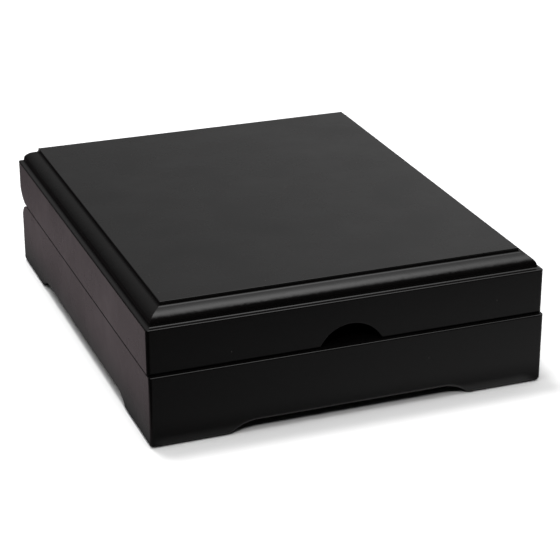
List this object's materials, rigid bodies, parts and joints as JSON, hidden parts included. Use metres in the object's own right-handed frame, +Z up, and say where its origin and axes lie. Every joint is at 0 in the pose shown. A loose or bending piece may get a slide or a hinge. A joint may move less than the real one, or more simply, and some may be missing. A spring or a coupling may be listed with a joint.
{
  "type": "coin display case",
  "caption": "Low lacquered wooden coin case with a hinged moulded lid, thumb notch, arched feet and a velvet tray of round recesses.",
  "frame": {"origin": "on the surface the case stands on, under the middle of the closed case's bounding box", "axes": "+X to the right, -Y to the front with the thumb notch, +Z up"},
  "size_m": [0.15, 0.1834, 0.0508],
  "materials": {
    "lacquer": "black lacquer, satin to gloss",
    "stained_wood": "black stain, matt",
    "felt": "felt",
    "velvet": "short black velvet",
    "board": "dyed fibreboard",
    "ribbon": "black satin ribbon",
    "satin": "padded black satin",
    "brass": "polished, lacquered brass",
    "magnet": "nickel plate"
  },
  "bodies": {
    "base": {"base_front_rail": "lacquer", "base_back_rail": "lacquer", "base_left_rail": "lacquer", "base_right_rail": "lacquer", "base_floor_panel": "stained_wood", "corner_block_front_left": "stained_wood", "corner_block_front_right": "stained_wood", "corner_block_back_left": "stained_wood", "corner_block_back_right": "stained_wood", "felt_pads": "felt", "base_liner_front": "velvet", "base_liner_back": "velvet", "base_liner_left": "velvet", "base_liner_right": "velvet", "tray_spacer": "board", "tray_core": "board", "tray_velvet": "velvet", "tray_lift_ribbon": "ribbon", "hinge_left_base_leaf": "brass", "hinge_right_base_leaf": "brass", "hinge_left_pin": "brass", "hinge_right_pin": "brass", "base_hinge_screws": "brass", "base_magnets": "magnet"},
    "lid": {"lid_front_rail": "lacquer", "lid_back_rail": "lacquer", "lid_left_rail": "lacquer", "lid_right_rail": "lacquer", "lid_top_panel": "lacquer", "lid_lining_board": "board", "lid_cushion": "satin", "hinge_left_lid_leaf": "brass", "hinge_right_lid_leaf": "brass", "lid_hinge_screws": "brass", "lid_magnets": "magnet"}
  },
  "joints": [
    {"name": "lid_hinge", "type": "hinge", "parent": "base", "child": "lid", "pos_m": [0, 0.0855, 0.0271], "axis": [-1, 0, 0], "range_deg": [0, 100]}
  ]
}
